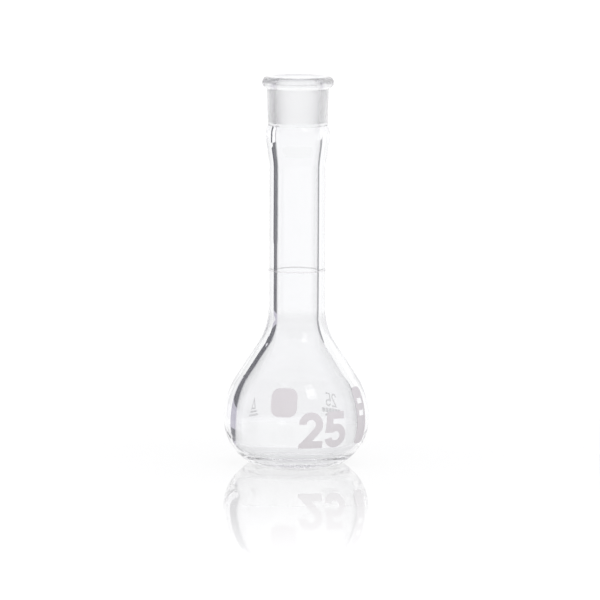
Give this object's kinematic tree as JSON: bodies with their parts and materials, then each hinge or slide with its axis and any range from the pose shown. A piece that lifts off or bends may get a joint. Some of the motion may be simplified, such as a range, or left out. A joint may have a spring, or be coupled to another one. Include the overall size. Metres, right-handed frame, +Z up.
{
  "type": "volumetric flask",
  "caption": "Clear glass volumetric flask: pear-shaped bulb on a flat foot, long thick-walled neck with a filling mark, and a ground conical mouth with a beaded lip.",
  "frame": {"origin": "centre of the foot ring, on the plane the flask stands on", "axes": "+Z up along the flask's axis, towards the mouth; the side with the large figures looks along -Y"},
  "size_m": [0.0418, 0.0417, 0.111],
  "materials": {
    "clear_glass": "fire-polished borosilicate",
    "mouth_glass": "ground inside, fire-polished outside",
    "enamel": "fired enamel, matt"
  },
  "bodies": {
    "root": {"bulb": "clear_glass", "neck_tube": "clear_glass", "ground_socket": "mouth_glass", "graduation_ring": "enamel", "capacity_figure_2": "enamel", "capacity_figure_5": "enamel", "back_figure_2": "enamel", "back_figure_5": "enamel", "marking_spot": "enamel", "side_panel": "enamel", "class_triangle": "enamel", "class_bars": "enamel", "back_blocks": "enamel"}
  },
  "joints": []
}
